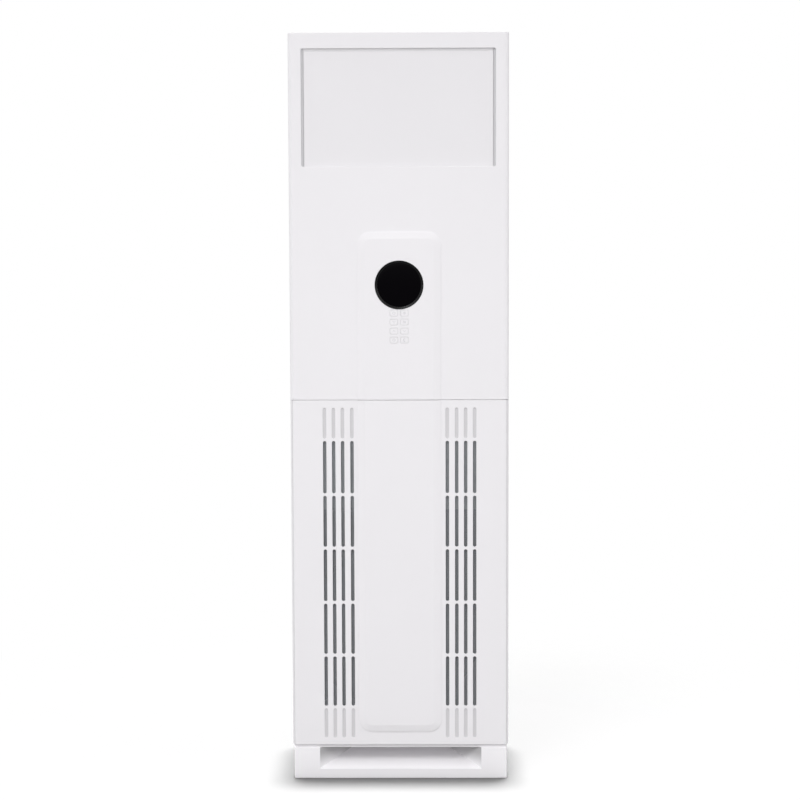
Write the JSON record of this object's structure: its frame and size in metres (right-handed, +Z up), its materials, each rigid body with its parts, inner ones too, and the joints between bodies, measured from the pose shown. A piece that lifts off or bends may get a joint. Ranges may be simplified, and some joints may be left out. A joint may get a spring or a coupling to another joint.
{
  "type": "floor standing air conditioner",
  "caption": "Tall white column air conditioner with a sliding outlet door, round black display, keys, slotted intake panel and scooped plinth.",
  "frame": {"origin": "on the floor, under the middle of the unit's outer box", "axes": "+X to the right seen from the front, +Y to the rear, +Z up"},
  "size_m": [0.51, 0.315, 1.75],
  "materials": {
    "white_plastic": "smooth satin moulded white plastic",
    "white_steel": "white powder-coated sheet steel",
    "grey_plastic": "moulded grey plastic",
    "black_plastic": "moulded black plastic",
    "display_window": "glossy black window",
    "galvanised_steel": "galvanised sheet steel",
    "aluminium_fins": "bare aluminium fins",
    "copper": "drawn copper tube",
    "foam_plastic": "dark foamed polystyrene moulding",
    "circuit_board": "green circuit board with components"
  },
  "bodies": {
    "cabinet": {"base_plinth": "white_plastic", "base_pan": "white_plastic", "left_door_rail": "white_plastic", "right_door_rail": "white_plastic", "top_cover": "white_plastic", "upper_front_panel": "white_plastic", "left_side_panel": "white_steel", "right_side_panel": "white_steel", "rear_panel": "white_steel", "drain_hose": "grey_plastic", "scroll_casing": "grey_plastic", "display_bezel": "black_plastic", "display_window": "display_window", "wall_bracket": "galvanised_steel", "door_motor": "galvanised_steel", "louver_motor": "galvanised_steel", "vane_motor": "galvanised_steel", "left_chamber_wall": "galvanised_steel", "right_chamber_wall": "galvanised_steel", "chamber_cover": "galvanised_steel", "deck": "galvanised_steel", "blower_motor": "galvanised_steel", "control_box": "galvanised_steel", "control_box_cover": "galvanised_steel", "fin_pack": "aluminium_fins", "coil_tubes": "copper", "gas_pipe": "copper", "liquid_pipe": "copper", "outlet_duct": "foam_plastic", "drain_pan": "foam_plastic", "control_board": "circuit_board", "key_board": "circuit_board"},
    "intake": {"intake_panel": "white_plastic"},
    "left_filter": {"left_filter": "grey_plastic"},
    "right_filter": {"right_filter": "grey_plastic"},
    "outlet_door": {"outlet_door": "white_plastic"},
    "door_drive": {"door_shaft": "galvanised_steel", "left_pinion": "white_plastic", "right_pinion": "white_plastic"},
    "blower": {"blower_wheel": "grey_plastic", "blower_shaft": "galvanised_steel"},
    "louver_1": {"louver_1": "white_plastic"},
    "louver_2": {"louver_2": "white_plastic"},
    "louver_3": {"louver_3": "white_plastic"},
    "louver_4": {"louver_4": "white_plastic"},
    "louver_link": {"louver_link": "grey_plastic"},
    "vane_1": {"vane_1": "white_plastic"},
    "vane_2": {"vane_2": "white_plastic"},
    "vane_3": {"vane_3": "white_plastic"},
    "vane_4": {"vane_4": "white_plastic"},
    "vane_5": {"vane_5": "white_plastic"},
    "vane_link": {"vane_link": "grey_plastic"},
    "key_1": {"key_1": "white_plastic"},
    "key_2": {"key_2": "white_plastic"},
    "key_3": {"key_3": "white_plastic"},
    "key_4": {"key_4": "white_plastic"},
    "key_5": {"key_5": "white_plastic"},
    "key_6": {"key_6": "white_plastic"},
    "key_7": {"key_7": "white_plastic"},
    "key_8": {"key_8": "white_plastic"}
  },
  "joints": [
    {"name": "outlet_door_slide", "type": "slide", "parent": "cabinet", "child": "outlet_door", "axis": [0, 0, -1], "range_m": [0, 0.2755]},
    {"name": "door_drive_spin", "type": "hinge", "parent": "cabinet", "child": "door_drive", "pos_m": [0, -0.1254, 1.409], "axis": [1, 0, 0], "range_deg": [0, 1054]},
    {"name": "intake_tilt", "type": "hinge", "parent": "cabinet", "child": "intake", "pos_m": [0, -0.152, 0.081], "axis": [1, 0, 0], "range_deg": [0, 25]},
    {"name": "left_filter_slide", "type": "slide", "parent": "intake", "child": "left_filter", "axis": [0, 0, 1], "range_m": [0, 0.06]},
    {"name": "right_filter_slide", "type": "slide", "parent": "intake", "child": "right_filter", "axis": [0, 0, 1], "range_m": [0, 0.06]},
    {"name": "blower_spin", "type": "hinge", "parent": "cabinet", "child": "blower", "pos_m": [-0.022, 0, 0.35], "axis": [0, 1, 0], "continuous": true},
    {"name": "louver_1_swing", "type": "hinge", "parent": "cabinet", "child": "louver_1", "pos_m": [0, -0.1, 1.489], "axis": [1, 0, 0], "range_deg": [-35, 35]},
    {"name": "louver_2_swing", "type": "hinge", "parent": "cabinet", "child": "louver_2", "pos_m": [0, -0.1, 1.549], "axis": [1, 0, 0], "range_deg": [-35, 35]},
    {"name": "louver_3_swing", "type": "hinge", "parent": "cabinet", "child": "louver_3", "pos_m": [0, -0.1, 1.609], "axis": [1, 0, 0], "range_deg": [-35, 35]},
    {"name": "louver_4_swing", "type": "hinge", "parent": "cabinet", "child": "louver_4", "pos_m": [0, -0.1, 1.669], "axis": [1, 0, 0], "range_deg": [-35, 35]},
    {"name": "louver_link_pivot", "type": "hinge", "parent": "louver_1", "child": "louver_link", "pos_m": [0.20125, -0.08, 1.489], "axis": [1, 0, 0], "range_deg": [-35, 35]},
    {"name": "vane_1_swing", "type": "hinge", "parent": "cabinet", "child": "vane_1", "pos_m": [-0.14, -0.035, 1.578], "axis": [0, 0, 1], "range_deg": [-40, 40]},
    {"name": "vane_2_swing", "type": "hinge", "parent": "cabinet", "child": "vane_2", "pos_m": [-0.07, -0.035, 1.578], "axis": [0, 0, 1], "range_deg": [-40, 40]},
    {"name": "vane_3_swing", "type": "hinge", "parent": "cabinet", "child": "vane_3", "pos_m": [0, -0.035, 1.578], "axis": [0, 0, 1], "range_deg": [-40, 40]},
    {"name": "vane_4_swing", "type": "hinge", "parent": "cabinet", "child": "vane_4", "pos_m": [0.07, -0.035, 1.578], "axis": [0, 0, 1], "range_deg": [-40, 40]},
    {"name": "vane_5_swing", "type": "hinge", "parent": "cabinet", "child": "vane_5", "pos_m": [0.14, -0.035, 1.578], "axis": [0, 0, 1], "range_deg": [-40, 40]},
    {"name": "vane_link_pivot", "type": "hinge", "parent": "vane_1", "child": "vane_link", "pos_m": [-0.14, -0.019, 1.45925], "axis": [0, 0, 1], "range_deg": [-40, 40]},
    {"name": "key_1_press", "type": "slide", "parent": "cabinet", "child": "key_1", "axis": [0, 1, 0], "range_m": [0, 0.001], "stiffness_N_per_m": 500},
    {"name": "key_2_press", "type": "slide", "parent": "cabinet", "child": "key_2", "axis": [0, 1, 0], "range_m": [0, 0.001], "stiffness_N_per_m": 500},
    {"name": "key_3_press", "type": "slide", "parent": "cabinet", "child": "key_3", "axis": [0, 1, 0], "range_m": [0, 0.001], "stiffness_N_per_m": 500},
    {"name": "key_4_press", "type": "slide", "parent": "cabinet", "child": "key_4", "axis": [0, 1, 0], "range_m": [0, 0.001], "stiffness_N_per_m": 500},
    {"name": "key_5_press", "type": "slide", "parent": "cabinet", "child": "key_5", "axis": [0, 1, 0], "range_m": [0, 0.001], "stiffness_N_per_m": 500},
    {"name": "key_6_press", "type": "slide", "parent": "cabinet", "child": "key_6", "axis": [0, 1, 0], "range_m": [0, 0.001], "stiffness_N_per_m": 500},
    {"name": "key_7_press", "type": "slide", "parent": "cabinet", "child": "key_7", "axis": [0, 1, 0], "range_m": [0, 0.001], "stiffness_N_per_m": 500},
    {"name": "key_8_press", "type": "slide", "parent": "cabinet", "child": "key_8", "axis": [0, 1, 0], "range_m": [0, 0.001], "stiffness_N_per_m": 500}
  ],
  "couplings": [
    {"joint": "door_drive_spin", "follows": "outlet_door_slide", "rad_per_m": 66.667},
    {"joint": "louver_2_swing", "follows": "louver_1_swing", "ratio": 1},
    {"joint": "louver_3_swing", "follows": "louver_1_swing", "ratio": 1},
    {"joint": "louver_4_swing", "follows": "louver_1_swing", "ratio": 1},
    {"joint": "louver_link_pivot", "follows": "louver_1_swing", "ratio": -1},
    {"joint": "vane_2_swing", "follows": "vane_1_swing", "ratio": 1},
    {"joint": "vane_3_swing", "follows": "vane_1_swing", "ratio": 1},
    {"joint": "vane_4_swing", "follows": "vane_1_swing", "ratio": 1},
    {"joint": "vane_5_swing", "follows": "vane_1_swing", "ratio": 1},
    {"joint": "vane_link_pivot", "follows": "vane_1_swing", "ratio": -1}
  ]
}
